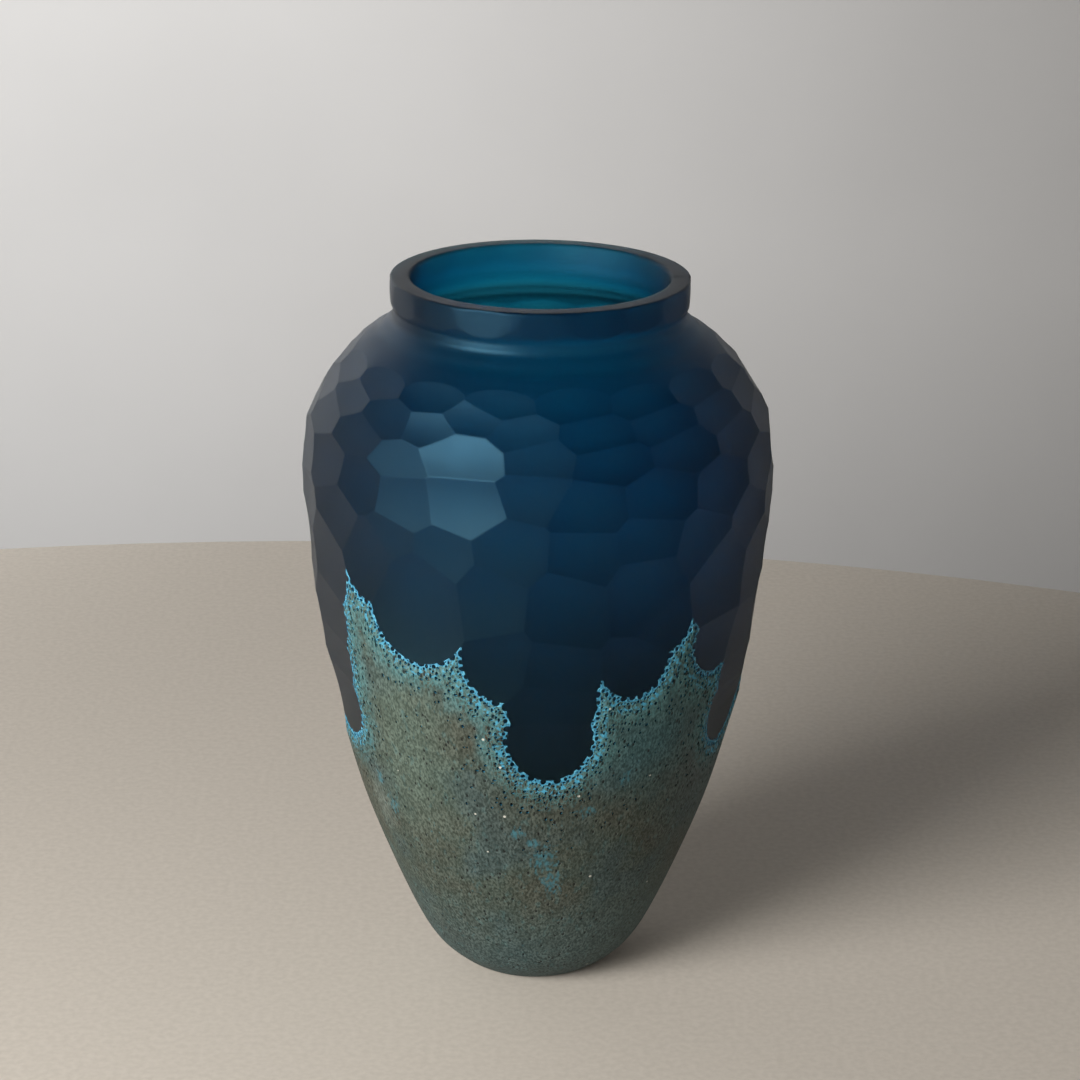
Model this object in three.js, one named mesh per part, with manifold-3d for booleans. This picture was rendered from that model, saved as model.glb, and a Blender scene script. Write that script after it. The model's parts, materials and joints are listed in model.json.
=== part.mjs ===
// A hand blown glass vase, in millimetres, +Z up, standing on z = 0 with its axis on the Z axis.
// One thick-walled glass body carries two thin fused layers: a bright turquoise frit underneath
// and a speckled grey-green frit coat outside. Grinding wheels then cut broad facets through the
// layers into the glass, which is what leaves the scalloped edge of the coat.
import * as THREE from "three";
import { mergeVertices } from "three/addons/utils/BufferGeometryUtils.js";
import Module from "manifold-3d";

// Overall
const SEGMENTS = 44;
const RIM_HEIGHT = 300;

// Fused layers, measured outwards from the glass surface
const FOOT_CLEARANCE = 0.6;
const TURQUOISE_INNER = 0.2;
const TURQUOISE_OUTER = 0.5;
const COAT_INNER = 0.7;
const COAT_OUTER = 1.2;
const LAYER_TOP_POINT = 10;

// Blown glass surface before cutting: radius, height
const GLASS_OUTSIDE = [
  [28, 0], [34, 4], [42.3, 12], [50, 25], [60.9, 50], [72.2, 80], [80.6, 110], [88.2, 140],
  [93.2, 170], [95.9, 195], [97.7, 215], [96.7, 232], [93.5, 246], [86.9, 258], [80.9, 266],
  [72.4, 273.8], [64.3, 279.5], [60.6, 283.3], [59.8, 285.7], [60.3, 288.4], [61.2, 292.4], [60.9, 299.2],
];
const LIP = [[60.2, RIM_HEIGHT], [53.4, RIM_HEIGHT]];
const GLASS_INSIDE = [
  [52.4, 298.8], [51.2, 292], [51.3, 286.5], [55, 281.5], [62.5, 275], [71, 267], [79.4, 255.5],
  [85.4, 242], [88.3, 226], [88.4, 208], [84.6, 172], [79.3, 140], [71.5, 110], [62.5, 80],
  [50.5, 50], [40, 28], [30, 18.5], [16, 14],
];
const FLOOR_THICKNESS = 13;

// Grinding wheels
const WHEEL_WIDTH = 64;
const WHEEL_FLAT = 17;
const RIM_FACETS = 17;
const RIM_FACET_RADIUS = 60.4;
const RIM_FACET_HEIGHT = 13;

// Rows of facets from the shoulder down: wheel radius and usual depth, then the cuts of the front as
// [azimuth in degrees, height, depth], then how many more carry the row round the back.
const ROWS = [
  {
    wheel: 55, depth: 1.2, back: 9,
    cuts: [[-73, 267], [-53, 267], [-32, 267], [-11.5, 267], [10, 268], [31, 267], [52, 268], [73, 267]],
  },
  {
    wheel: 60, depth: 1.35, back: 10,
    cuts: [
      [-62, 261, 1.4], [-44, 259], [-29, 259, 1.3], [-18, 263, 1.5], [-5, 260, 1.4], [15, 259],
      [35, 260], [56, 259], [76, 260],
    ],
  },
  {
    wheel: 90, depth: 1.65, back: 10,
    cuts: [
      [-71, 250], [-52, 249], [-36, 245, 1.6], [-19, 249, 2.1], [0, 250, 1.5], [18, 248], [39, 249],
      [60, 248], [80, 249],
    ],
  },
  {
    wheel: 110, depth: 1.8, back: 10,
    cuts: [
      [-80, 232], [-62, 235], [-48, 231], [-33, 229, 1.9], [-18, 232, 2.1], [-1, 238, 1.6], [12, 231],
      [30, 233], [50, 231], [70, 232],
    ],
  },
  {
    wheel: 150, depth: 1.9, back: 10,
    cuts: [
      [-77, 213], [-56, 216], [-37, 213, 1.7], [-23, 212, 1.7], [-6, 214], [11, 213], [27, 216],
      [43, 212], [62, 214], [80, 216],
    ],
  },
  {
    wheel: 150, depth: 2, back: 10,
    cuts: [
      [-81, 190, 1.9], [-64, 192, 1.9], [-43.5, 206, 1.9], [-30, 187, 2.8], [-11, 192, 1.7],
      [7, 188], [27, 194, 2.1], [50.5, 193, 2.1], [70, 190],
    ],
  },
];
// The lowest cuts, each of which hangs one lobe of bare glass into the coat
const LOBE_WHEEL = 150;
const LOBES = [
  [-87, 158, 1.9], [-84, 131, 1.95], [-67, 169, 2.0], [-67.5, 150, 1.85], [-68, 132.5, 1.8],
  [-8, 168.5, 1.6], [3.8, 132.5, 1.75], [4, 148, 1.85], [5, 164, 1.9], [25, 166.5, 1.3],
  [30.5, 183.5, 1.6], [51.5, 167.5, 1.15], [66.5, 131.5, 1.75], [67.5, 146, 1.8], [68, 160, 1.9],
  [82, 168, 1.7], [88, 145, 1.7], [101, 166, 1.9], [105, 142, 1.7], [124, 172, 1.8],
  [141, 146, 1.5], [143, 166, 1.8], [164, 174, 1.8], [184, 163, 1.7], [187, 139, 1.5],
  [207, 172, 1.7], [229, 164, 1.7], [231, 141, 1.6], [251, 171, 1.7],
];

const wasm = await Module();
wasm.setup();

/** A closed surface as a solid that can be joined and cut. */
function solidFrom(geometry) {
  const bare = geometry.clone();
  bare.deleteAttribute("normal");
  bare.deleteAttribute("uv");
  const merged = mergeVertices(bare, 1e-4);
  const corners = merged.index.array;
  const kept = [];
  for (let i = 0; i < corners.length; i += 3) {
    const [a, b, c] = corners.slice(i, i + 3);
    if (a !== b && b !== c && c !== a) kept.push(a, b, c);
  }
  return new wasm.Manifold(
    new wasm.Mesh({
      numProp: 3,
      vertProperties: merged.attributes.position.array,
      triVerts: new Uint32Array(kept),
    }),
  );
}

/** A solid of revolution about Z from a profile of radius and height points. */
function turned(profile) {
  const lathe = new THREE.LatheGeometry(profile, SEGMENTS);
  lathe.rotateX(Math.PI / 2);
  return solidFrom(lathe);
}

/** The blown glass surface as a smooth curve, and its outward normal at one place on it. */
const glassCurve = new THREE.SplineCurve(GLASS_OUTSIDE.map(([r, z]) => new THREE.Vector2(r, z)));

function normalAt(t) {
  const along = glassCurve.getTangent(t);
  return new THREE.Vector2(along.y, -along.x);
}

/** Place and normal on the glass surface at one height, found by halving. */
function surfaceAt(height) {
  let low = 0;
  let high = 1;
  while (high - low > 1e-5) {
    const middle = (low + high) / 2;
    if (glassCurve.getPoint(middle).y < height) low = middle;
    else high = middle;
  }
  return { place: glassCurve.getPoint(low), normal: normalAt(low) };
}

/** A repeatable number from -1 to 1, for the small unevenness of cuts made by hand. */
function unevenness(key) {
  const spread = Math.sin(key * 12.9898) * 43758.5453;
  return 2 * (spread - Math.floor(spread)) - 1;
}

/** The wheel that grinds one facet, sunk to its depth below the glass surface. */
function wheelCut(azimuth, height, depth, radius) {
  const { place, normal } = surfaceAt(height);
  const flats = Math.round((2 * Math.PI * radius) / WHEEL_FLAT);
  const centre = place.addScaledVector(normal, radius - depth);
  const wheel = new THREE.CylinderGeometry(radius, radius, WHEEL_WIDTH, flats);
  wheel.rotateZ(Math.PI / 2);
  wheel.translate(0, -centre.x, centre.y);
  wheel.rotateZ(THREE.MathUtils.degToRad(azimuth));
  return solidFrom(wheel);
}

/** One row of facets: the cuts of the front, then evenly spaced ones round the back. */
function rowCuts({ wheel, depth, back, cuts }) {
  const row = cuts.map(([azimuth, height, own = depth]) => wheelCut(azimuth, height, own, wheel));
  const [last, level] = cuts[cuts.length - 1];
  const step = (cuts[0][0] + 360 - last) / (back + 1);
  for (let k = 1; k <= back; k += 1) {
    const azimuth = last + step * k + 2 * unevenness(k + level);
    const height = level + 1.5 * unevenness(k + 3 * level);
    row.push(wheelCut(azimuth, height, depth + 0.15 + 0.2 * unevenness(k + 7 * level), wheel));
  }
  return row;
}

/** Flat cuts round the rim band. */
function rimCuts() {
  return Array.from({ length: RIM_FACETS }, (_, k) => {
    const box = new THREE.BoxGeometry(40, 10, RIM_FACET_HEIGHT);
    box.translate(0, -(RIM_FACET_RADIUS + 5), RIM_HEIGHT - RIM_FACET_HEIGHT / 2 + 0.5);
    box.rotateZ((2 * Math.PI * k) / RIM_FACETS);
    return solidFrom(box);
  });
}

/** The uncut glass: foot, swelling body, shoulder, waisted neck, rim and the hollow inside. */
function glassBlank() {
  const outside = glassCurve.getPoints(GLASS_OUTSIDE.length - 1);
  const rest = [...LIP, ...GLASS_INSIDE].map(([r, z]) => new THREE.Vector2(r, z));
  return turned([
    new THREE.Vector2(0, 0),
    ...outside,
    ...rest,
    new THREE.Vector2(0, FLOOR_THICKNESS),
  ]);
}

/** A fused layer: a skin between two distances out from the glass, ground off just above the foot. */
function layer(inner, outer) {
  const offset = (distance) =>
    Array.from({ length: LAYER_TOP_POINT + 1 }, (_, k) => {
      const t = k / (GLASS_OUTSIDE.length - 1);
      return glassCurve.getPoint(t).addScaledVector(normalAt(t), distance);
    });
  const outside = offset(outer);
  const ground = new THREE.BoxGeometry(200, 200, 20);
  ground.translate(0, 0, FOOT_CLEARANCE - 10);
  return turned([...outside, ...offset(inner).reverse(), outside[0].clone()]).subtract(
    solidFrom(ground),
  );
}

/** The triangles of the largest connected piece: grinding leaves no loose crumbs of a layer behind. */
function largestPiece(triVerts, numVert) {
  const parent = Uint32Array.from({ length: numVert }, (_, i) => i);
  const rootOf = (i) => {
    while (parent[i] !== i) i = parent[i] = parent[parent[i]];
    return i;
  };
  for (let i = 0; i < triVerts.length; i += 3) {
    parent[rootOf(triVerts[i])] = rootOf(triVerts[i + 1]);
    parent[rootOf(triVerts[i + 1])] = rootOf(triVerts[i + 2]);
  }
  const pieces = new Map();
  for (let i = 0; i < triVerts.length; i += 3) {
    const root = rootOf(triVerts[i]);
    if (!pieces.has(root)) pieces.set(root, []);
    pieces.get(root).push(...triVerts.slice(i, i + 3));
  }
  return [...pieces.values()].reduce((most, piece) => (piece.length > most.length ? piece : most));
}

/** A named mesh from a finished solid. */
function meshOf(name, solid, material) {
  const { numProp, numVert, vertProperties, triVerts } = solid.getMesh();
  const position = new Float32Array(numVert * 3);
  for (let i = 0; i < numVert; i += 1) {
    position.set(vertProperties.subarray(i * numProp, i * numProp + 3), i * 3);
  }
  const geometry = new THREE.BufferGeometry();
  geometry.setAttribute("position", new THREE.BufferAttribute(position, 3));
  geometry.setIndex(largestPiece(triVerts, numVert));
  geometry.computeVertexNormals();
  const mesh = new THREE.Mesh(geometry, new THREE.MeshStandardMaterial(material));
  mesh.name = name;
  return mesh;
}

const facets = [
  ...ROWS.flatMap(rowCuts),
  ...LOBES.map(([azimuth, height, depth]) => wheelCut(azimuth, height, depth, LOBE_WHEEL)),
];
const cutAway = (blank, cutters) => cutters.reduce((solid, cutter) => solid.subtract(cutter), blank);

const vase = new THREE.Group();
vase.name = "art_glass_vase";
vase.add(
  meshOf("glass_body", cutAway(glassBlank(), [...facets, ...rimCuts()]), {
    color: 0x0a3550,
    roughness: 0.4,
    transparent: true,
    opacity: 0.9,
  }),
  meshOf("turquoise_layer", cutAway(layer(TURQUOISE_INNER, TURQUOISE_OUTER), facets), {
    color: 0x4ea3c8,
    roughness: 0.6,
  }),
  meshOf("speckled_coat", cutAway(layer(COAT_INNER, COAT_OUTER), facets), {
    color: 0x626e60,
    roughness: 0.7,
  }),
);

export default vase;
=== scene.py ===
"""A hand blown art glass vase: satin teal glass, wheel cut through a fused coat of coloured frit.

The glass body is one thick blown wall. Two thin layers are fused onto it, a bright turquoise frit
and a speckled grey-green one, and grinding wheels cut broad hollow facets through both into the
glass. Lengths are in millimetres until a mesh is made, and meshes are in metres.
"""

import json
import logging
import math
from dataclasses import dataclass, field
from enum import Enum
from typing import Any

import bpy
import numpy as np
from mathutils import Matrix, Vector

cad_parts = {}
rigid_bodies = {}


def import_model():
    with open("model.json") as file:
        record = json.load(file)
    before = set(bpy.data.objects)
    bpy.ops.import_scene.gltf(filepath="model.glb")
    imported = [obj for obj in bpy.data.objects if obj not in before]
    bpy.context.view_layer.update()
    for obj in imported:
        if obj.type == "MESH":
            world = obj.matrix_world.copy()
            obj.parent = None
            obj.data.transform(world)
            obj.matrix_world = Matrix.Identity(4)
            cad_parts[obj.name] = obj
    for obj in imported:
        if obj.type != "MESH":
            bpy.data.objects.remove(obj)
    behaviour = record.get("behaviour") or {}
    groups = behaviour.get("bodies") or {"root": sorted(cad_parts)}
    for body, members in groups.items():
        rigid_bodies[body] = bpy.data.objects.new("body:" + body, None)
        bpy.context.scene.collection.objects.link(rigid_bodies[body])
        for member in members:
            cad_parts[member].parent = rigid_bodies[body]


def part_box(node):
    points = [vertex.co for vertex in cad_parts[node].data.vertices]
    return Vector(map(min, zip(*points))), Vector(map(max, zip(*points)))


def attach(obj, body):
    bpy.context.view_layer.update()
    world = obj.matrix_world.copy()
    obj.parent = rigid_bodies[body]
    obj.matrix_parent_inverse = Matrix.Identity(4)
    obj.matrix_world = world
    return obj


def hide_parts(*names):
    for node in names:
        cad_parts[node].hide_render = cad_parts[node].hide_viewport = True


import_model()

LOG = logging.getLogger("vase")
MM = 0.001
Point = tuple[float, float]
Cut = tuple[float, float, float]
Colour = tuple[float, float, float, float]
Number = bpy.types.NodeSocket | float
Paint = bpy.types.NodeSocket | Colour
UNTOUCHED = -50.0


class Skin(Enum):
    """The fused layers: how far out from the glass each starts and ends, and its wheel allowance."""

    TURQUOISE = (-0.06, 0.38, 0.02)
    SPECKLED = (0.3, 0.95, 0.06)


def linear(code: str) -> Colour:
    """Turns an sRGB hex colour to linear light.

    Args:
        code: the colour as six hex digits.

    Returns:
        Red, green, blue and a full alpha.
    """
    channels = [int(code[i : i + 2], 16) / 255 for i in (0, 2, 4)]
    return (*[c / 12.92 if c <= 0.04045 else ((c + 0.055) / 1.055) ** 2.4 for c in channels], 1.0)


def add_node(
    tree: bpy.types.NodeTree, kind: str, inputs: dict[str | int, Any] | None = None, **settings: Any
) -> bpy.types.Node:
    """Adds a node with its settings and links.

    Args:
        tree: the tree it goes in.
        kind: the node's type name.
        inputs: socket name or number to a value or to another node's output.
        settings: the node's own properties; stops gives a colour ramp's places and colours.

    Returns:
        The node.
    """
    node = tree.nodes.new(kind)
    for name, value in settings.items():
        if name == "stops":
            ramp = node.color_ramp
            while len(ramp.elements) < len(value):
                ramp.elements.new(1.0)
            for element, (place, colour) in zip(ramp.elements, value):
                element.position = place
                element.color = colour
        else:
            setattr(node, name, value)
    for key, value in (inputs or {}).items():
        if isinstance(value, bpy.types.NodeSocket):
            tree.links.new(value, node.inputs[key])
        else:
            node.inputs[key].default_value = value
    return node


def new_material(name: str) -> tuple[bpy.types.Material, bpy.types.NodeTree]:
    """Makes a material with no nodes yet.

    Args:
        name: the material's name.

    Returns:
        The material and its node tree.
    """
    mat = bpy.data.materials.new(name)
    mat.use_nodes = True
    mat.node_tree.nodes.clear()
    return mat, mat.node_tree


def grey(level: float) -> Colour:
    """A grey of a linear level."""
    return (level, level, level, 1.0)


def per_size(size_mm: float) -> float:
    """A pattern's scale from the real size of its features, for coordinates in metres."""
    return 1.0 / (size_mm * MM)


# ---------------------------------------------------------------- shape


@dataclass(frozen=True)
class WheelCut:
    """One facet: where a grinding wheel touched the glass, how deep it went and its own radius."""

    azimuth: float
    depth: float
    radius: float
    place: Point
    normal: Point

    def centre(self) -> np.ndarray:
        """The wheel's centre in millimetres."""
        out = self.radius - self.depth
        r = self.place[0] + self.normal[0] * out
        turn = math.radians(self.azimuth)
        return np.array([r * math.sin(turn), -r * math.cos(turn), self.place[1] + self.normal[1] * out])

    def sunk(self, points: np.ndarray) -> np.ndarray:
        """How far each point lies inside the wheel.

        Args:
            points: places in millimetres, one per row.

        Returns:
            Depths in millimetres, below zero outside the wheel.
        """
        turn = math.radians(self.azimuth)
        across = np.array([math.cos(turn), math.sin(turn), 0.0])
        reach = points - self.centre()
        reach = reach - np.outer(reach @ across, across)
        depth = self.radius - np.linalg.norm(reach, axis=1)
        facing = points @ np.array([math.sin(turn), -math.cos(turn), 0.0]) > 0
        return np.where(facing, depth, UNTOUCHED)


@dataclass(frozen=True)
class BlownForm:
    """The blown shape before cutting, as radius and height points."""

    outside: tuple[Point, ...] = (
        (28, 0), (34, 4), (42.3, 12), (50, 25), (60.9, 50), (72.2, 80), (80.6, 110), (88.2, 140),
        (93.2, 170), (95.8, 195), (97.4, 215), (96.5, 232), (93.5, 246), (86.9, 258), (80.9, 266),
        (72.4, 273.8), (64.3, 279.5), (60.6, 283.3), (59.8, 285.7), (60.3, 288.4), (61.2, 292.4),
        (60.9, 299.2),
    )
    lip: tuple[Point, ...] = ((60.6, 299.75), (60.1, 300), (53.6, 300), (52.9, 299.7))
    inside: tuple[Point, ...] = (
        (52.4, 298.8), (51.2, 292), (51.3, 286.5), (55, 281.5), (62.5, 275), (71, 267), (79.4, 255.5),
        (85.4, 242), (88.3, 226), (88.4, 208), (84.6, 172), (79.3, 140), (71.5, 110), (62.5, 80),
        (50.5, 50), (40, 28), (30, 18.5), (16, 14), (0, 13),
    )
    layer_points: int = 10
    ripple_height: float = 0.38
    ripple_length: float = 4.8
    ripple_span: Point = (272.0, 289.0)

    def smooth(self, points: tuple[Point, ...], steps: int) -> np.ndarray:
        """A smooth curve through the points.

        Args:
            points: radius and height points.
            steps: how many stretches each pair of points is divided into.

        Returns:
            Radius and height rows.
        """
        p = np.array(points, dtype=float)
        ends = np.vstack([p[0], p, p[-1]])
        rows = []
        for a, b, c, d in zip(ends, ends[1:], ends[2:], ends[3:]):
            for t in np.arange(steps) / steps:
                square, cube = 2 * a - 5 * b + 4 * c - d, 3 * b - a - 3 * c + d
                rows.append(0.5 * (2 * b + (c - a) * t + square * t**2 + cube * t**3))
        return np.array([*rows, p[-1]])

    def normals(self, curve: np.ndarray) -> np.ndarray:
        """The outward normal at each row of a curve that runs upwards.

        Args:
            curve: radius and height rows.

        Returns:
            Normals, one per row.
        """
        along = np.gradient(curve, axis=0)
        out = np.stack([along[:, 1], -along[:, 0]], axis=1)
        return out / np.linalg.norm(out, axis=1)[:, None]

    def surface_at(self, height: float) -> tuple[Point, Point]:
        """The place and outward normal on the glass at a height.

        Args:
            height: the height in millimetres.

        Returns:
            The radius and height there, and the normal's two parts.
        """
        curve = self.smooth(self.outside, 60)
        row = int(np.argmin(np.abs(curve[:, 1] - height)))
        return tuple(curve[row]), tuple(self.normals(curve)[row])

    def wall_profile(self, steps: int) -> np.ndarray:
        """The whole wall in section, from the middle of the foot round to the middle of the hollow.

        Args:
            steps: how many stretches each pair of points is divided into.

        Returns:
            Radius and height rows, with the turning ripples round the neck.
        """
        outer = self.smooth(self.outside, steps)
        inner = self.smooth(self.inside, steps)
        low, high = self.ripple_span
        fade = np.clip((outer[:, 1] - low) / 4, 0, 1) * np.clip((high - outer[:, 1]) / 2, 0, 1)
        rings = np.sin((outer[:, 1] - low) * 2 * math.pi / self.ripple_length)
        outer = outer - self.normals(outer) * (self.ripple_height * fade * (1 + rings) / 2)[:, None]
        return np.vstack([[[0, 0], [14, 0]], outer, self.lip, inner])

    def skin_profile(self, start: float, end: float, steps: int) -> np.ndarray:
        """A fused layer in section: out along one side and back along the other.

        Args:
            start: how far out from the glass its inside is.
            end: how far out its outside is.
            steps: how many stretches each pair of points is divided into.

        Returns:
            Radius and height rows.
        """
        curve = self.smooth(self.outside[: self.layer_points + 1], steps)
        normal = self.normals(curve)
        return np.vstack([curve + normal * end, (curve + normal * start)[::-1]])


@dataclass(frozen=True)
class FacetRow:
    """A row of facets: the cuts of the front, then how many more carry it round the back."""

    wheel: float
    depth: float
    back: int
    cuts: tuple[tuple[float, ...], ...]


def unevenness(key: float) -> float:
    """A repeatable number from -1 to 1, for the small unevenness of cuts made by hand."""
    spread = math.sin(key * 12.9898) * 43758.5453
    return 2 * (spread - math.floor(spread)) - 1


@dataclass
class FacetPlan:
    """Every wheel cut on the vase, in rows from the shoulder down, then the lobes into the coat."""

    form: BlownForm
    rows: tuple[FacetRow, ...] = (
        FacetRow(55, 1.2, 9, (
            (-73, 267), (-53, 267), (-32, 267), (-11.5, 267), (10, 268), (31, 267), (52, 268), (73, 267),
        )),
        FacetRow(60, 1.35, 10, (
            (-62, 261, 1.4), (-44, 259), (-29, 259, 1.3), (-18, 263, 1.5), (-5, 260, 1.4), (15, 259),
            (35, 260), (56, 259), (76, 260),
        )),
        FacetRow(90, 1.65, 10, (
            (-71, 250), (-52, 249), (-36, 245, 1.6), (-19, 249, 2.1), (0, 250, 1.5), (18, 248), (39, 249),
            (60, 248), (80, 249),
        )),
        FacetRow(110, 1.8, 10, (
            (-80, 232), (-62, 235), (-48, 231), (-33, 229, 1.9), (-18, 232, 2.1), (-1, 238, 1.6),
            (12, 231), (30, 233), (50, 231), (70, 232),
        )),
        FacetRow(150, 1.9, 10, (
            (-77, 213), (-56, 216), (-37, 213, 1.7), (-23, 212, 1.7), (-6, 214), (11, 213), (27, 216),
            (43, 212), (62, 214), (80, 216),
        )),
        FacetRow(150, 2.0, 10, (
            (-81, 190, 1.9), (-64, 192, 1.9), (-43.5, 206, 1.9), (-30, 187, 2.8), (-11, 192, 1.7),
            (7, 188), (27, 194, 2.1), (50.5, 193, 2.1), (70, 190),
        )),
    )
    lobe_wheel: float = 150
    lobes: tuple[Cut, ...] = (
        (-87, 158, 1.9), (-84, 131, 1.95), (-67, 169, 2.0), (-67.5, 150, 1.85), (-68, 132.5, 1.8),
        (-8, 168.5, 1.6), (3.8, 132.5, 1.75), (4, 148, 1.85), (5, 164, 1.9), (25, 166.5, 1.3),
        (30.5, 183.5, 1.6), (51.5, 167.5, 1.15), (66.5, 131.5, 1.75), (67.5, 146, 1.8), (68, 160, 1.9),
        (82, 168, 1.7), (88, 145, 1.7), (101, 166, 1.9), (105, 142, 1.7), (124, 172, 1.8),
        (141, 146, 1.5), (143, 166, 1.8), (164, 174, 1.8), (184, 163, 1.7), (187, 139, 1.5),
        (207, 172, 1.7), (229, 164, 1.7), (231, 141, 1.6), (251, 171, 1.7),
    )
    wheels: list[WheelCut] = field(default_factory=list)

    def __post_init__(self) -> None:
        """Works out every wheel."""
        for row in self.rows:
            for azimuth, height, *own in row.cuts:
                self.touch(azimuth, height, own[0] if own else row.depth, row.wheel)
            last, level = row.cuts[-1][:2]
            step = (row.cuts[0][0] + 360 - last) / (row.back + 1)
            for k in range(1, row.back + 1):
                self.touch(
                    last + step * k + 2 * unevenness(k + level),
                    level + 1.5 * unevenness(k + 3 * level),
                    row.depth + 0.15 + 0.2 * unevenness(k + 7 * level),
                    row.wheel,
                )
        for azimuth, height, depth in self.lobes:
            self.touch(azimuth, height, depth, self.lobe_wheel)

    def touch(self, azimuth: float, height: float, depth: float, radius: float) -> None:
        """Adds one wheel cut at its place on the glass.

        Args:
            azimuth: its direction from the front in degrees, positive to the right.
            height: its height on the glass.
            depth: how deep it goes.
            radius: the wheel's radius.
        """
        place, normal = self.form.surface_at(height)
        self.wheels.append(WheelCut(azimuth, depth, radius, place, normal))

    def deepest(self, points: np.ndarray) -> tuple[np.ndarray, np.ndarray]:
        """The wheel that reaches deepest at each point.

        Args:
            points: places in millimetres, one per row.

        Returns:
            How far each point lies inside that wheel, and the wheel's number.
        """
        best = np.full(len(points), UNTOUCHED)
        which = np.full(len(points), -1)
        for number, wheel in enumerate(self.wheels):
            sunk = wheel.sunk(points)
            deeper = sunk > best
            best = np.where(deeper, sunk, best)
            which = np.where(deeper, number, which)
        return best, which


# ---------------------------------------------------------------- modelling helpers


def only(piece: bpy.types.Object) -> None:
    """Selects one object alone and makes it active."""
    bpy.ops.object.select_all(action="DESELECT")
    piece.select_set(True)
    bpy.context.view_layer.objects.active = piece


def turn_profile(name: str, profile: np.ndarray, steps: int, closed: bool) -> bpy.types.Object:
    """Spins a section round the Z axis into a closed solid.

    Args:
        name: the new object's name.
        profile: radius and height rows in millimetres.
        steps: how many stretches make the circle.
        closed: whether the section's last point joins its first.

    Returns:
        The object, at the origin.
    """
    points = [Vector((r * MM, 0, z * MM)) for r, z in profile]
    bpy.ops.object.select_all(action="DESELECT")
    bpy.ops.mesh.primitive_plane_add(size=MM, location=(0, 0, 0))
    piece = bpy.context.object
    piece.name = piece.data.name = name
    bpy.ops.object.mode_set(mode="EDIT")
    bpy.ops.mesh.select_all(action="SELECT")
    bpy.ops.mesh.merge(type="CENTER")
    bpy.ops.transform.translate(value=points[0])
    for here, there in zip(points, points[1:]):
        bpy.ops.mesh.extrude_region_move(TRANSFORM_OT_translate={"value": there - here})
    if closed:
        bpy.ops.mesh.extrude_region_move(TRANSFORM_OT_translate={"value": points[0] - points[-1]})
        bpy.ops.mesh.select_all(action="SELECT")
        bpy.ops.mesh.remove_doubles(threshold=1e-6)
    bpy.ops.mesh.select_all(action="SELECT")
    bpy.ops.mesh.spin(steps=steps, angle=2 * math.pi, center=(0, 0, 0), axis=(0, 0, 1))
    bpy.ops.mesh.select_all(action="SELECT")
    bpy.ops.mesh.remove_doubles(threshold=1e-6)
    bpy.ops.mesh.normals_make_consistent(inside=False)
    bpy.ops.object.mode_set(mode="OBJECT")
    return piece


@dataclass
class Workshop:
    """The cutting tools, kept in a collection of their own until the cutting is done."""

    name: str
    tools: bpy.types.Collection = None

    def __post_init__(self) -> None:
        """Makes the collection."""
        self.tools = bpy.data.collections.new(self.name)
        bpy.context.scene.collection.children.link(self.tools)

    def keep(self, tool: bpy.types.Object) -> None:
        """Moves a tool into the collection."""
        for home in list(tool.users_collection):
            home.objects.unlink(tool)
        self.tools.objects.link(tool)

    def wheel(self, cut: WheelCut, allowance: float, width: float = 64.0, flats: int = 360) -> None:
        """Adds the wheel of one facet.

        Args:
            cut: the facet.
            allowance: how much smaller than true the wheel is, so that a layer stands proud.
            width: the wheel's width.
            flats: how many narrow flats make its rim.
        """
        bpy.ops.object.select_all(action="DESELECT")
        bpy.ops.mesh.primitive_cylinder_add(
            vertices=flats,
            radius=(cut.radius - allowance) * MM,
            depth=width * MM,
            location=Vector(cut.centre()) * MM,
            rotation=(math.pi / 2, 0, math.radians(cut.azimuth) + math.pi / 2),
        )
        self.keep(bpy.context.object)

    def block(self, size: tuple[float, float, float], place: tuple[float, float, float], turn: float) -> None:
        """Adds a flat-faced block, turned round Z by an angle in degrees.

        Args:
            size: its three sizes in millimetres.
            place: its middle in millimetres, before the turn.
            turn: the angle in degrees.
        """
        spin = Matrix.Rotation(math.radians(turn), 4, "Z")
        bpy.ops.object.select_all(action="DESELECT")
        bpy.ops.mesh.primitive_cube_add(
            size=1, location=(spin @ Vector(place)) * MM, rotation=(0, 0, math.radians(turn))
        )
        bpy.context.object.scale = Vector(size) * MM
        self.keep(bpy.context.object)

    def cut(self, piece: bpy.types.Object) -> None:
        """Takes every tool away from a piece, and puts the tools away.

        Args:
            piece: the object that is cut.
        """
        bpy.context.view_layer.update()
        only(piece)
        cutting = piece.modifiers.new("cutting", "BOOLEAN")
        cutting.operation = "DIFFERENCE"
        cutting.operand_type = "COLLECTION"
        cutting.solver = "MANIFOLD"
        cutting.collection = self.tools
        bpy.ops.object.modifier_apply(modifier=cutting.name)
        for tool in list(self.tools.objects):
            mesh = tool.data
            bpy.data.objects.remove(tool)
            bpy.data.meshes.remove(mesh)
        bpy.data.collections.remove(self.tools)


def centres_of(mesh: bpy.types.Mesh) -> np.ndarray:
    """Each face's centre in millimetres.

    Args:
        mesh: the mesh.

    Returns:
        Places, one per row.
    """
    places = np.zeros(len(mesh.polygons) * 3)
    mesh.polygons.foreach_get("center", places)
    return places.reshape(-1, 3) / MM


def corners_of(mesh: bpy.types.Mesh) -> np.ndarray:
    """Each vertex's place in millimetres.

    Args:
        mesh: the mesh.

    Returns:
        Places, one per row.
    """
    places = np.zeros(len(mesh.vertices) * 3)
    mesh.vertices.foreach_get("co", places)
    return places.reshape(-1, 3) / MM


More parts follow.
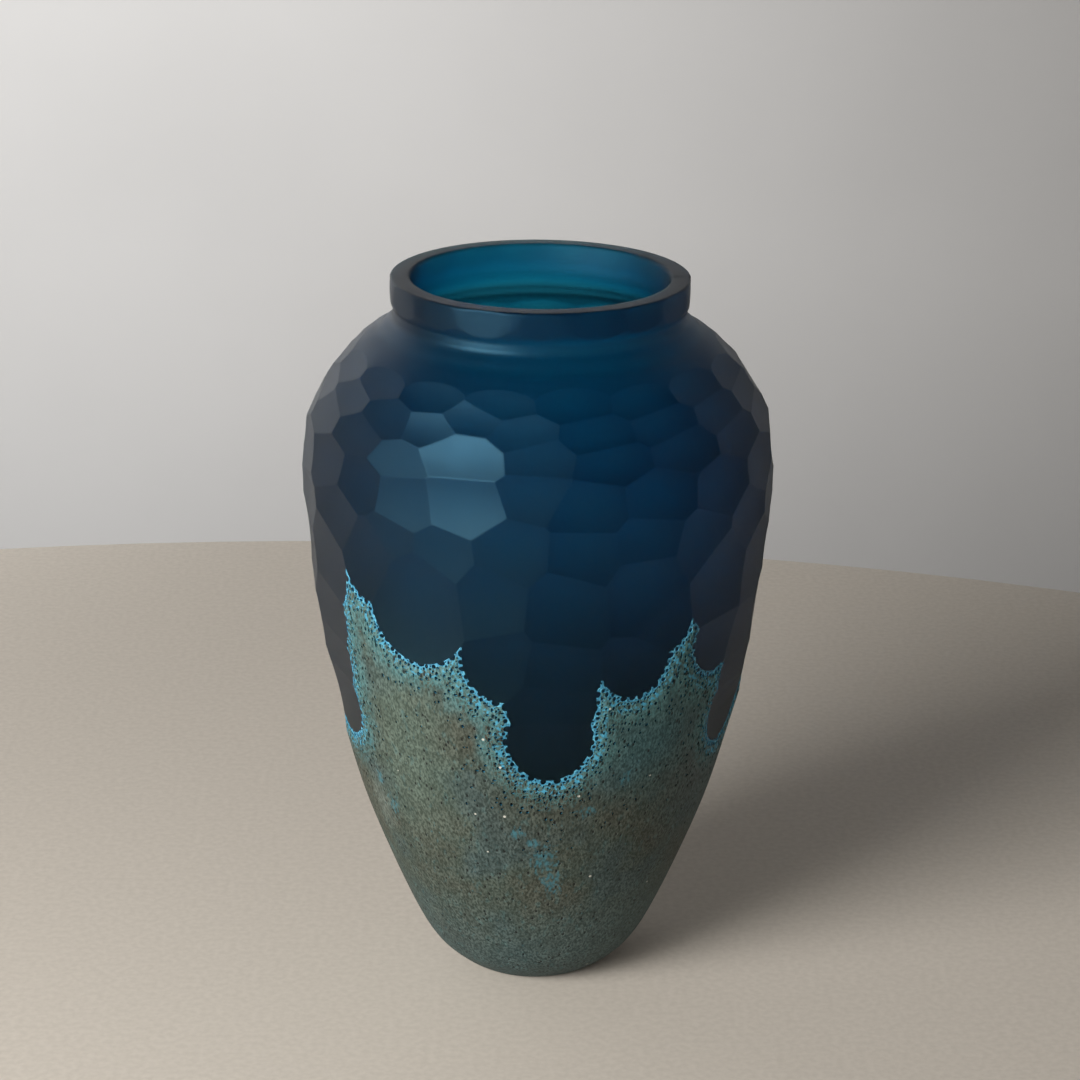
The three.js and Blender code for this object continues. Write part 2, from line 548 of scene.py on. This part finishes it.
def crisp_between(piece: bpy.types.Object, patch: np.ndarray, angle: float) -> None:
    """Shades a piece smooth, but keeps the edges crisp where two patches meet or the surface turns.

    Args:
        piece: the object.
        patch: one number per face; faces of one facet share it.
        angle: the turn in degrees past which any edge is crisp.
    """
    mesh = piece.data
    only(piece)
    bpy.ops.object.shade_smooth_by_angle(angle=math.radians(angle))
    loops = np.zeros(len(mesh.loops), dtype=np.int64)
    mesh.loops.foreach_get("edge_index", loops)
    counts = np.zeros(len(mesh.polygons), dtype=np.int64)
    mesh.polygons.foreach_get("loop_total", counts)
    of_loop = np.repeat(patch, counts)
    low = np.full(len(mesh.edges), 10**6)
    high = np.full(len(mesh.edges), -10)
    np.minimum.at(low, loops, of_loop)
    np.maximum.at(high, loops, of_loop)
    marks = mesh.attributes.get("sharp_edge") or mesh.attributes.new("sharp_edge", "BOOLEAN", "EDGE")
    crisp = np.zeros(len(mesh.edges), dtype=bool)
    marks.data.foreach_get("value", crisp)
    marks.data.foreach_set("value", crisp | (low != high))


# ---------------------------------------------------------------- finishes


@dataclass(frozen=True)
class SatinGlass:
    """Soda glass tinted deep teal all through, ground and acid dipped to a satin outside.

    The satin spreads what it reflects into a soft grey bloom, and the depth of the wall sets how
    much light comes through: bright teal where one wall is crossed, near black where more is.
    """

    absorbed_per_mm: tuple[float, float, float] = (0.66, 0.187, 0.119)
    outside_roughness: tuple[float, float] = (0.4, 0.47)
    inside_roughness: float = 0.62
    ior: float = 1.5
    gloss: float = 0.1
    bloom: str = "76B8D8"
    cloud_mm: float = 22.0
    grain_mm: float = 0.5
    ridge_mm: float = 1.3

    def make(self) -> bpy.types.Material:
        """Makes the material.

        Returns:
            The satin glass material.
        """
        mat, tree = new_material("satin_teal_glass")
        place = add_node(tree, "ShaderNodeTexCoord").outputs["Object"]
        clouds = add_node(
            tree, "ShaderNodeTexNoise", {"Vector": place, "Scale": per_size(self.cloud_mm), "Detail": 4.0}
        ).outputs["Fac"]
        outside = add_node(
            tree,
            "ShaderNodeMapRange",
            {
                "Value": clouds, "From Min": 0.3, "From Max": 0.7,
                "To Min": self.outside_roughness[0], "To Max": self.outside_roughness[1],
            },
        ).outputs[0]
        inner = add_node(tree, "ShaderNodeAttribute", attribute_name="inside").outputs["Fac"]
        rough = add_node(
            tree, "ShaderNodeMix", {"Factor": inner, "A": outside, "B": self.inside_roughness}
        ).outputs[0]
        body = add_node(
            tree,
            "ShaderNodeValToRGB",
            {"Fac": clouds},
            stops=((0.3, linear("F4FBFF")), (0.7, linear("FFFFFF"))),
        ).outputs[0]
        grain = add_node(
            tree, "ShaderNodeTexNoise", {"Vector": place, "Scale": per_size(self.grain_mm), "Detail": 2.0}
        ).outputs["Fac"]
        worn_ridges = add_node(
            tree, "ShaderNodeBevel", {"Radius": self.ridge_mm * MM}, samples=6
        ).outputs[0]
        relief = add_node(
            tree, "ShaderNodeBump",
            {"Height": grain, "Strength": 0.25, "Distance": 0.06 * MM, "Normal": worn_ridges},
        ).outputs[0]
        shader = add_node(
            tree,
            "ShaderNodeBsdfPrincipled",
            {
                "Base Color": body, "Roughness": rough, "IOR": self.ior,
                "Specular IOR Level": self.gloss, "Specular Tint": linear(self.bloom),
                "Transmission Weight": 1.0, "Normal": relief,
            },
        )
        strongest = max(self.absorbed_per_mm)
        depth = add_node(
            tree,
            "ShaderNodeVolumeAbsorption",
            {
                "Color": (*[1 - a / strongest for a in self.absorbed_per_mm], 1.0),
                "Density": strongest / MM,
            },
        )
        add_node(
            tree,
            "ShaderNodeOutputMaterial",
            {"Surface": shader.outputs[0], "Volume": depth.outputs[0]},
        )
        return mat


@dataclass(frozen=True)
class TurquoiseFrit:
    """Opaque turquoise glass frit, half melted: a bright, finely foamy enamel with a dull skin."""

    shades: tuple[str, ...] = ("23586F", "36809F", "5CA6BC")
    grain_mm: float = 1.6
    roughness: float = 0.6

    def make(self) -> bpy.types.Material:
        """Makes the material.

        Returns:
            The turquoise frit material.
        """
        mat, tree = new_material("turquoise_frit")
        place = add_node(tree, "ShaderNodeTexCoord").outputs["Object"]
        grains = add_node(
            tree, "ShaderNodeTexNoise", {"Vector": place, "Scale": per_size(self.grain_mm), "Detail": 3.0}
        ).outputs["Fac"]
        colour = add_node(
            tree,
            "ShaderNodeValToRGB",
            {"Fac": grains},
            stops=tuple(zip((0.32, 0.5, 0.68), (linear(s) for s in self.shades))),
        ).outputs[0]
        bumps = add_node(
            tree, "ShaderNodeBump", {"Height": grains, "Strength": 0.6, "Distance": 0.3 * MM}
        ).outputs[0]
        shader = add_node(
            tree,
            "ShaderNodeBsdfPrincipled",
            {"Base Color": colour, "Roughness": self.roughness, "Specular IOR Level": 0.3, "Normal": bumps},
        )
        add_node(tree, "ShaderNodeOutputMaterial", {"Surface": shader.outputs[0]})
        return mat


@dataclass(frozen=True)
class SoftPlace:
    """A soft edged place on the coat: azimuth, height, half width, half height, colour and strength."""

    azimuth: float
    height: float
    half_width: float
    half_height: float
    colour: str
    strength: float


@dataclass(frozen=True)
class SpeckledFrit:
    """Grey-green glass frit, half melted over the turquoise: a dull foamy crust.

    Its colour wanders from teal grey to olive brown over centimetres, with a fine upright grain,
    a net of burst bubble walls, dark pits and pale flecks, and more turquoise near the cut edge.
    One place on the right side is painted lighter, as painted light from light bounced onto that side.
    The pits' dark is partly painted shade in their hollows and partly the dark glass they reach.
    """

    ground: tuple[str, ...] = ("354947", "3B493F", "40463A")
    foot: str = "384F50"
    veil: str = "3F6666"
    edge: str = "3D8AA6"
    net: str = "45797D"
    worn: str = "356A76"
    # near black for the pits: partly painted shade in their hollows, partly the dark glass they reach
    pit_and_shade: str = "070C0C"
    rust: str = "3A211C"
    fleck: str = "B5B5AC"
    cloud_mm: float = 34
    mottle_mm: float = 5
    blot_mm: float = 3.4
    grain_mm: float = 0.9
    foam_mm: float = 1.5
    flake_mm: float = 1.3
    pit_mm: float = 2.9
    rust_mm: float = 6.5
    fleck_mm: float = 14
    crust_mm: float = 1.1
    stains_and_painted_light: tuple[SoftPlace, ...] = (
        SoftPlace(-37, 122, 17, 42, "4D6156", 0.75), SoftPlace(-57, 88, 5, 16, "7C8C86", 0.35),
        # the place at azimuth 60 is painted light: the right side of the coat made lighter in place of light
        # bounced onto it, not a stain
        SoftPlace(60, 118, 22, 48, "44585B", 0.7), SoftPlace(4, 98, 22, 20, "33392F", 0.5),
        SoftPlace(32, 132, 20, 24, "2D5B60", 0.85), SoftPlace(42, 26, 24, 26, "4C6260", 0.7),
    )
    patches: tuple[SoftPlace, ...] = (
        SoftPlace(-5.5, 87, 3.5, 3, "", 1), SoftPlace(-0.5, 83, 3, 2.5, "", 1), SoftPlace(3, 74, 5, 8, "", 0.85),
        SoftPlace(6, 63, 5, 7, "", 0.8), SoftPlace(26, 113, 2.5, 3, "", 0.9), SoftPlace(15, 98, 4, 2.5, "", 0.85),
        SoftPlace(-54, 116, 3, 3, "", 0.85), SoftPlace(-54, 101, 2, 5, "", 0.9), SoftPlace(-50, 88, 3, 6, "", 0.8),
    )

    def make(self, form: BlownForm) -> bpy.types.Material:
        """Makes the material.

        Args:
            form: the blown shape, which says where on it a place lies.

        Returns:
            The speckled frit material.
        """
        mat, tree = new_material("speckled_grey_green_frit")
        place = add_node(tree, "ShaderNodeTexCoord").outputs["Object"]
        upright = add_node(tree, "ShaderNodeMapping", {"Vector": place, "Scale": (1.0, 1.0, 0.5)}).outputs[0]

        def noise(size: float, where: bpy.types.NodeSocket, detail: float = 3.0) -> bpy.types.NodeSocket:
            """A cloudy pattern with features of a size in millimetres."""
            inputs = {"Vector": where, "Scale": per_size(size), "Detail": detail}
            return add_node(tree, "ShaderNodeTexNoise", inputs).outputs["Fac"]

        def cells(size: float, where: bpy.types.NodeSocket, feature: str = "F1") -> bpy.types.NodeSocket:
            """Distances, in cells, to the middles or walls of cells of a size in millimetres."""
            return add_node(
                tree, "ShaderNodeTexVoronoi", {"Vector": where, "Scale": per_size(size)}, feature=feature
            ).outputs["Distance"]

        def between(value: bpy.types.NodeSocket, low: float, high: float) -> bpy.types.NodeSocket:
            """A soft step from 0 at one value to 1 at the other."""
            return add_node(
                tree, "ShaderNodeMapRange", {"Value": value, "From Min": low, "From Max": high},
                interpolation_type="SMOOTHSTEP",
            ).outputs[0]

        def blend(share: Number, under: Paint, over: Paint, mode: str = "MIX") -> bpy.types.NodeSocket:
            """One colour over another."""
            node = add_node(tree, "ShaderNodeMix", data_type="RGBA", blend_type=mode)
            for socket, value in ((node.inputs[0], share), (node.inputs[6], under), (node.inputs[7], over)):
                if isinstance(value, bpy.types.NodeSocket):
                    tree.links.new(value, socket)
                else:
                    socket.default_value = value
            return node.outputs[2]

        def combine(one: Number, two: Number, operation: str = "MULTIPLY") -> bpy.types.NodeSocket:
            """Two numbers put together."""
            return add_node(tree, "ShaderNodeMath", {0: one, 1: two}, operation=operation).outputs[0]

        def within(soft_spot: SoftPlace) -> bpy.types.NodeSocket:
            """1 in the middle of a soft place, falling softly to 0 outside it.

            Args:
                soft_spot: the place.

            Returns:
                The share of it at each point.
            """
            turn = math.radians(soft_spot.azimuth)
            radius = form.surface_at(soft_spot.height)[0][0]
            middle = Vector((math.sin(turn) * radius, -math.cos(turn) * radius, soft_spot.height)) * MM
            half = Vector((soft_spot.half_width, soft_spot.half_width, soft_spot.half_height)) * MM
            off = add_node(tree, "ShaderNodeVectorMath", {0: place, 1: middle}, operation="SUBTRACT")
            off = add_node(tree, "ShaderNodeVectorMath", {0: off.outputs[0], 1: half}, operation="DIVIDE")
            far = add_node(tree, "ShaderNodeVectorMath", {0: off.outputs[0]}, operation="LENGTH")
            return between(far.outputs["Value"], 1.9, 0.2)

        reach = add_node(tree, "ShaderNodeAttribute", attribute_name="reach").outputs["Fac"]
        level = add_node(tree, "ShaderNodeSeparateXYZ", {"Vector": place}).outputs["Z"]
        mottle = noise(self.mottle_mm, upright)
        colour = add_node(
            tree, "ShaderNodeValToRGB", {"Fac": noise(self.cloud_mm, place, 4.0)},
            stops=tuple(zip((0.38, 0.5, 0.62), (linear(c) for c in self.ground))),
        ).outputs[0]
        colour = blend(combine(between(level, 0.06, 0.012), 0.7), colour, linear(self.foot))
        # stains, and at azimuth 60 a lighter place that is painted light on the right side
        for soft_spot in self.stains_and_painted_light:
            colour = blend(combine(within(soft_spot), soft_spot.strength), colour, linear(soft_spot.colour))
        near = combine(between(reach, 4.2, 0.4), between(level, 0.1, 0.135))
        colour = blend(combine(near, between(mottle, 0.34, 0.58)), colour, linear(self.veil))
        blots = between(noise(self.blot_mm, upright), 0.6, 0.68)
        colour = blend(combine(blots, 0.35), colour, linear(self.veil))
        dark = blend(1.0, colour, grey(0.46), "MULTIPLY")
        light = blend(1.0, colour, grey(0.028), "ADD")
        colour = blend(between(noise(self.grain_mm, upright, 2.0), 0.34, 0.66), dark, light)
        colour = blend(combine(between(mottle, 0.6, 0.4), 0.35), colour, dark)
        net = between(cells(self.foam_mm, upright, "DISTANCE_TO_EDGE"), 0.13, 0.02)
        net = combine(net, combine(between(reach, 2.6, 0.2), 0.6))
        colour = blend(net, colour, linear(self.net))
        fringe = combine(between(reach, 0.5, 0.05), between(noise(self.foam_mm, place), 0.5, 0.62))
        colour = blend(fringe, colour, linear(self.edge))
        worn = within(self.patches[0])
        for patch in self.patches[1:]:
            worn = combine(worn, combine(within(patch), patch.strength), "MAXIMUM")
        flaked = combine(combine(worn, 0.3), noise(self.flake_mm, upright, 6.0), "ADD")
        colour = blend(combine(between(flaked, 0.6, 0.9), 0.8), colour, linear(self.worn))
        pits = combine(cells(self.pit_mm, upright), combine(near, 0.05), "SUBTRACT")
        # the pits are painted near black, partly painted shade in their hollows and partly the dark glass
        # beneath
        colour = blend(combine(between(pits, 0.17, 0.11), 0.9), colour, linear(self.pit_and_shade))
        rust = combine(between(cells(self.rust_mm, place), 0.075, 0.045), near)
        colour = blend(rust, colour, linear(self.rust))
        colour = blend(between(cells(self.fleck_mm, place), 0.05, 0.034), colour, linear(self.fleck))
        crust = combine(noise(self.crust_mm, place, 4.0), combine(between(pits, 0.26, 0.1), 1.2), "SUBTRACT")
        relief = add_node(
            tree, "ShaderNodeBump", {"Height": crust, "Strength": 0.7, "Distance": 0.3 * MM}
        ).outputs[0]
        rough = add_node(
            tree, "ShaderNodeMapRange", {"Value": mottle, "To Min": 0.55, "To Max": 0.75}
        ).outputs[0]
        shader = add_node(
            tree, "ShaderNodeBsdfPrincipled",
            {"Base Color": colour, "Roughness": rough, "Specular IOR Level": 0.3, "Normal": relief},
        )
        add_node(tree, "ShaderNodeOutputMaterial", {"Surface": shader.outputs[0]})
        return mat


@dataclass(frozen=True)
class PaleSurface:
    """A plain pale matte surface with a faint clouding, for the table and the wall behind."""

    name: str
    shades: tuple[str, str]
    cloud_mm: float = 40.0

    def make(self) -> bpy.types.Material:
        """Makes the material.

        Returns:
            The pale matte material.
        """
        mat, tree = new_material(self.name)
        place = add_node(tree, "ShaderNodeTexCoord").outputs["Object"]
        clouds = add_node(
            tree, "ShaderNodeTexNoise", {"Vector": place, "Scale": per_size(self.cloud_mm), "Detail": 5.0}
        ).outputs["Fac"]
        colour = add_node(
            tree, "ShaderNodeValToRGB", {"Fac": clouds},
            stops=((0.35, linear(self.shades[0])), (0.65, linear(self.shades[1]))),
        ).outputs[0]
        shader = add_node(tree, "ShaderNodeBsdfPrincipled", {"Base Color": colour, "Roughness": 0.8})
        add_node(tree, "ShaderNodeOutputMaterial", {"Surface": shader.outputs[0]})
        return mat


# ---------------------------------------------------------------- pieces


@dataclass
class GlassBody:
    """The blown and cut glass: foot, body, shoulder, neck, rim and the hollow inside."""

    form: BlownForm
    plan: FacetPlan
    around: int = 180
    profile_steps: int = 7
    rim_facets: int = 17
    rim_facet_radius: float = 60.4
    rim_facet_height: float = 13.0
    rim_unevenness: Point = (0.25, 2.0)
    rim_block: Point = (40.0, 10.0)
    ridge_tolerance: float = 0.03
    crisp_angle: float = 14.0
    hollow_margin: float = 1.2
    hollow_floor: float = 12.0

    def build(self) -> bpy.types.Object:
        """Models the body.

        Returns:
            The finished glass body.
        """
        profile = self.form.wall_profile(self.profile_steps)
        body = turn_profile("blown_glass_body", profile, self.around, False)
        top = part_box("glass_body")[1].z / MM
        shop = Workshop("body_wheels")
        for cut in self.plan.wheels:
            shop.wheel(cut, 0.0)
        for k in range(self.rim_facets):
            reach = self.rim_facet_radius + self.rim_unevenness[0] * unevenness(k + 1)
            shop.block(
                (*self.rim_block, self.rim_facet_height),
                (0, -(reach + self.rim_block[1] / 2), top - self.rim_facet_height / 2 + 0.5),
                360 * k / self.rim_facets + self.rim_unevenness[1] * unevenness(k + 40),
            )
        shop.cut(body)
        sunk, which = self.plan.deepest(centres_of(body.data))
        crisp_between(body, np.where(sunk > -self.ridge_tolerance, which, -1), self.crisp_angle)
        self.mark_inside(body)
        body.data.materials.clear()
        body.data.materials.append(SatinGlass().make())
        return body

    def mark_inside(self, body: bpy.types.Object) -> None:
        """Marks the fire polished hollow with 1 and the ground outside with 0.

        Args:
            body: the glass body.
        """
        corners = corners_of(body.data)
        inner = self.form.smooth(self.form.inside, 8)[::-1]
        limit = np.interp(corners[:, 2], inner[:, 1], inner[:, 0]) + self.hollow_margin
        within = (np.hypot(corners[:, 0], corners[:, 1]) < limit) & (corners[:, 2] > self.hollow_floor)
        layer = body.data.attributes.new("inside", "FLOAT", "POINT")
        layer.data.foreach_set("value", within.astype(float))


@dataclass(frozen=True)
class Bubble:
    """A burst bubble in the frit: its place on the glass, its outward direction and its radius."""

    place: Vector
    out: Vector
    radius: float
    reach: float


@dataclass
class Foam:
    """The bubbles that burst where the frit was ground or worn, crowded along the cut edge.

    Each band is where bubbles of one kind lie by their reach, which is how far in millimetres the
    nearest wheel passed above the glass there, with their radii and how many of the tries are kept.
    """

    form: BlownForm
    plan: FacetPlan
    seed: int = 11
    tries: int = 240000
    heights: Point = (66.0, 208.0)
    bands: tuple[tuple[float, float, float, float, float], ...] = (
        (-0.34, 0.02, 1.05, 1.75, 0.16),
        (-0.2, 0.24, 0.7, 1.05, 0.5),
        (-0.1, 0.4, 0.42, 0.66, 1.0),
        (-0.05, 0.5, 0.28, 0.36, 1.0),
        (0.4, 1.6, 0.34, 0.62, 0.11),
        (1.2, 4.5, 0.26, 0.6, 0.022),
        (4.0, 12.0, 0.2, 0.42, 0.004),
    )
    edge_reach: float = 0.4
    edge_wall: float = 0.16
    coat_wall: float = 0.55
    edge_stretch: Point = (1.0, 0.2)
    coat_stretch: Point = (1.15, 0.3)
    cell: float = 4.0
    bubbles: list[Bubble] = field(default_factory=list)

    def scatter(self) -> None:
        """Scatters the bubbles so that no two touch, the largest along the edge first."""
        draw = np.random.default_rng(self.seed)
        curve = self.form.smooth(self.form.outside, 12)
        normal = self.form.normals(curve)
        height = draw.uniform(*self.heights, self.tries)
        turn = draw.uniform(0, 2 * math.pi, self.tries)
        r, out_r, out_z = (
            np.interp(height, curve[:, 1], v) for v in (curve[:, 0], normal[:, 0], normal[:, 1])
        )
        places = np.stack([r * np.sin(turn), -r * np.cos(turn), height], axis=1)
        outs = np.stack([out_r * np.sin(turn), -out_r * np.cos(turn), out_z], axis=1)
        reach = -self.plan.deepest(places)[0]
        taken: dict[tuple[int, ...], list[tuple[np.ndarray, float]]] = {}
        for low, high, small, large, share in self.bands:
            kept = (reach > low) & (reach < high) & (draw.random(self.tries) < share)
            sizes = draw.uniform(small, large, self.tries)
            rows = np.flatnonzero(kept)
            for row in rows[np.argsort(-sizes[rows], kind="stable")]:
                self.place(places[row], outs[row], sizes[row], float(reach[row]), taken)
        LOG.info("%d burst bubbles", len(self.bubbles))

    def place(self, place: np.ndarray, out: np.ndarray, radius: float, reach: float, taken: dict) -> None:
        """Keeps one bubble if it stands clear of every bubble kept so far.

        Args:
            place: its middle on the glass in millimetres.
            out: its outward direction.
            radius: its radius.
            reach: how far the nearest wheel passed above it.
            taken: the bubbles kept so far, by the cell of space they lie in.
        """
        wall = self.edge_wall if reach < self.edge_reach else self.coat_wall
        cell = tuple(int(v // self.cell) for v in place)
        near = (
            other
            for dx in (-1, 0, 1)
            for dy in (-1, 0, 1)
            for dz in (-1, 0, 1)
            for other in taken.get((cell[0] + dx, cell[1] + dy, cell[2] + dz), ())
        )
        if all(np.linalg.norm(place - p) > radius + q + wall for p, q in near):
            taken.setdefault(cell, []).append((place, radius))
            self.bubbles.append(Bubble(Vector(place), Vector(out), radius, reach))

    def tool(self, widen: float, lift: float, half_length: float) -> bpy.types.Object:
        """One closed mesh holding every bubble, each drawn out along its own outward direction.

        Args:
            widen: added to each radius, away from the very edge.
            lift: how far out from the glass each bubble's middle is.
            half_length: half the bubble's length along its outward direction.

        Returns:
            The tool.
        """
        bpy.ops.object.select_all(action="DESELECT")
        bpy.ops.mesh.primitive_uv_sphere_add(segments=9, ring_count=5, radius=1)
        tool = bpy.context.object
        ball = corners_of(tool.data) * MM
        faces = [tuple(p.vertices) for p in tool.data.polygons]
        corners, sides = [], []
        for number, bubble in enumerate(self.bubbles):
            inland = bubble.reach > self.edge_reach
            wide = bubble.radius + (widen if inland else 0.0)
            stretch, spread = self.coat_stretch if inland else self.edge_stretch
            tall = stretch + spread * unevenness(number)
            frame_of = bubble.out.to_track_quat("Z", "Y").to_matrix()
            shape = np.array(frame_of @ Matrix.Diagonal((wide / tall, wide * tall, half_length)))
            middle = np.array(bubble.place + bubble.out * lift)
            corners.append((ball @ shape.T + middle) * MM)
            sides.extend(tuple(v + number * len(ball) for v in face) for face in faces)
        tool.data.clear_geometry()
        tool.data.from_pydata(np.vstack(corners).tolist(), [], sides)
        return tool


@dataclass
class FusedLayer:
    """One fused layer of frit, cut by the same wheels as the glass and pierced by burst bubbles."""

    name: str
    skin: Skin
    form: BlownForm
    plan: FacetPlan
    foam: Foam
    widen: float
    material: bpy.types.Material
    around: int = 180
    profile_steps: int = 7
    foot_clearance: float = 0.05
    bubble_lift: float = 1.5
    bubble_half_length: float = 4.5
    ridge_tolerance: float = 0.03
    crisp_angle: float = 30.0
    far_reach: float = 12.0
    floor_block: Cut = (300.0, 300.0, 20.0)

    def build(self) -> bpy.types.Object:
        """Models the layer.

        Returns:
            The finished layer.
        """
        start, end, allowance = self.skin.value
        profile = self.form.skin_profile(start, end, self.profile_steps)
        layer = turn_profile(self.name, profile, self.around, True)
        shop = Workshop(self.name + "_wheels")
        for cut in self.plan.wheels:
            shop.wheel(cut, allowance)
        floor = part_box("glass_body")[0].z / MM
        shop.block(self.floor_block, (0, 0, floor + self.foot_clearance - self.floor_block[2] / 2), 0)
        shop.cut(layer)
        shop = Workshop(self.name + "_bubbles")
        shop.keep(self.foam.tool(self.widen, self.bubble_lift, self.bubble_half_length))
        shop.cut(layer)
        self.drop_crumbs(layer)
        sunk, which = self.plan.deepest(centres_of(layer.data))
        crisp_between(layer, np.where(sunk > -allowance - self.ridge_tolerance, which, -1), self.crisp_angle)
        reach = np.clip(-self.plan.deepest(corners_of(layer.data))[0], 0, self.far_reach)
        mark = layer.data.attributes.new("reach", "FLOAT", "POINT")
        mark.data.foreach_set("value", reach)
        layer.data.materials.clear()
        layer.data.materials.append(self.material)
        return layer

    def drop_crumbs(self, layer: bpy.types.Object) -> None:
        """Deletes loose crumbs of the layer far up the bare glass, where grinding leaves none.

        Args:
            layer: the cut layer.
        """
        only(layer)
        bpy.ops.object.mode_set(mode="EDIT")
        bpy.ops.mesh.select_mode(type="VERT")
        bpy.ops.mesh.select_all(action="DESELECT")
        bpy.ops.object.mode_set(mode="OBJECT")
        lowest = min(layer.data.vertices, key=lambda v: v.co.z)
        lowest.select = True
        bpy.ops.object.mode_set(mode="EDIT")
        bpy.ops.mesh.select_linked()
        bpy.ops.mesh.select_all(action="INVERT")
        bpy.ops.mesh.delete(type="VERT")
        bpy.ops.object.mode_set(mode="OBJECT")


# ---------------------------------------------------------------- studio


@dataclass
class Studio:
    """A pale round table in front of a pale curved wall, one soft low key light and a camera."""

    table_radius: float = 1150.0
    table_middle: Point = (-100.0, -620.0)
    wall_radius: float = 2000.0
    wall_top: float = 2400.0
    key_azimuth: float = -44.0
    key_height: float = 680.0
    key_distance: float = 1500.0
    key_size: Point = (850.0, 1000.0)
    key_power: float = 44.5
    sky: str = "D9DCE0"
    sky_strength: float = 0.03
    wash_place: tuple[float, float, float] = (-900.0, -500.0, 1700.0)
    wash_aim: tuple[float, float, float] = (-1150.0, 1650.0, 400.0)
    wash_angle: float = 75.0
    wash_power: float = 470.0
    lens: float = 103.0
    camera_distance: float = 1212.4
    camera_height: float = 609.3
    pitch: float = 19.216
    roll: float = 0.612
    shift: float = 0.0021

    def build(self) -> None:
        """Builds the table, wall, lights and camera."""
        self.table()
        self.wall()
        self.light("key_window", self.key_azimuth, self.key_height, self.key_size, self.key_power)
        self.wall_wash()
        world = bpy.data.worlds.new("studio")
        bpy.context.scene.world = world
        world.use_nodes = True
        back = world.node_tree.nodes["Background"]
        back.inputs["Color"].default_value = linear(self.sky)
        back.inputs["Strength"].default_value = self.sky_strength
        self.camera()

    def table(self) -> bpy.types.Object:
        """The round table top, whose surface is the floor the vase stands on.

        Returns:
            The table.
        """
        bpy.ops.object.select_all(action="DESELECT")
        bpy.ops.mesh.primitive_cylinder_add(
            vertices=160,
            radius=self.table_radius * MM,
            depth=20 * MM,
            location=(self.table_middle[0] * MM, self.table_middle[1] * MM, -10 * MM),
        )
        table = bpy.context.object
        table.name = "pale_table"
        bpy.ops.object.transform_apply(location=True, rotation=True, scale=True)
        table.data.materials.append(PaleSurface("pale_stone_table", ("C3BCB2", "CBC4BA"), 3.0).make())
        return table

    def wall(self) -> bpy.types.Object:
        """The wall, curved all round so that every view has one behind the vase.

        Returns:
            The wall.
        """
        bpy.ops.object.select_all(action="DESELECT")
        bpy.ops.mesh.primitive_cylinder_add(
            vertices=96,
            radius=self.wall_radius * MM,
            depth=(self.wall_top + 1000) * MM,
            location=(0, 0, (self.wall_top - 1000) / 2 * MM),
            end_fill_type="NOTHING",
        )
        wall = bpy.context.object
        wall.name = "pale_wall"
        bpy.ops.object.transform_apply(location=True, rotation=True, scale=True)
        bpy.ops.object.shade_smooth()
        wall.data.materials.append(PaleSurface("pale_painted_wall", ("BAB9B8", "BDBCBB"), 300.0).make())
        return wall

    def light(self, name: str, azimuth: float, height: float, size: Point, power: float) -> None:
        """Adds one soft light aimed at the middle of the vase.

        Args:
            name: the light's name.
            azimuth: its direction from the front in degrees, positive to the right.
            height: its height in millimetres.
            size: its width and height in millimetres.
            power: its power in watts.
        """
        turn = math.radians(azimuth)
        place = Vector((math.sin(turn) * self.key_distance, -math.cos(turn) * self.key_distance, height)) * MM
        lamp = bpy.data.lights.new(name, "AREA")
        lamp.shape = "RECTANGLE"
        lamp.size, lamp.size_y = size[0] * MM, size[1] * MM
        lamp.energy = power
        lamp.color = linear("FFFCF8")[:3]
        holder = bpy.data.objects.new(name, lamp)
        holder.location = place
        aim = Vector((0, 0, 0.15)) - place
        holder.rotation_euler = aim.to_track_quat("-Z", "Y").to_euler()
        bpy.context.scene.collection.objects.link(holder)

    def wall_wash(self) -> None:
        """Adds the soft spot that brightens the left of the wall and never reaches the vase."""
        lamp = bpy.data.lights.new("wall_wash", "SPOT")
        lamp.energy = self.wash_power
        lamp.spot_size = math.radians(self.wash_angle)
        lamp.spot_blend = 1.0
        lamp.shadow_soft_size = 0.3
        holder = bpy.data.objects.new("wall_wash", lamp)
        holder.location = Vector(self.wash_place) * MM
        aim = Vector(self.wash_aim) * MM - holder.location
        holder.rotation_euler = aim.to_track_quat("-Z", "Y").to_euler()
        bpy.context.scene.collection.objects.link(holder)

    def camera(self) -> None:
        """Sets the camera."""
        data = bpy.data.cameras.new("camera")
        data.sensor_width = 36
        data.lens = self.lens
        data.shift_x = self.shift
        holder = bpy.data.objects.new("camera", data)
        look = Matrix.Rotation(math.radians(90 - self.pitch), 4, "X") @ Matrix.Rotation(
            math.radians(self.roll), 4, "Z"
        )
        place = Matrix.Translation((0, -self.camera_distance * MM, self.camera_height * MM))
        holder.matrix_world = place @ look
        bpy.context.scene.collection.objects.link(holder)
        bpy.context.scene.camera = holder


def main() -> None:
    """Builds the vase and its studio, in order."""
    logging.basicConfig(level=logging.INFO, format="%(message)s")
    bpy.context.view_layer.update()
    form = BlownForm()
    plan = FacetPlan(form)
    foam = Foam(form, plan)
    foam.scatter()
    body = GlassBody(form, plan).build()
    turquoise = FusedLayer(
        "turquoise_frit_layer", Skin.TURQUOISE, form, plan, foam, 0.15, TurquoiseFrit().make()
    ).build()
    coat = FusedLayer(
        "speckled_frit_coat", Skin.SPECKLED, form, plan, foam, 0.25, SpeckledFrit().make(form)
    ).build()
    for piece, node, finish in (
        (body, "glass_body", "teal_glass"),
        (turquoise, "turquoise_layer", "turquoise_frit"),
        (coat, "speckled_coat", "speckled_frit"),
    ):
        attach(piece, "root")
        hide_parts(node)
        LOG.info("%s: %d faces", piece.name, len(piece.data.polygons))
    Studio().build()
    bpy.context.scene.view_settings.view_transform = "Standard"


if __name__ == "__main__":
    main()
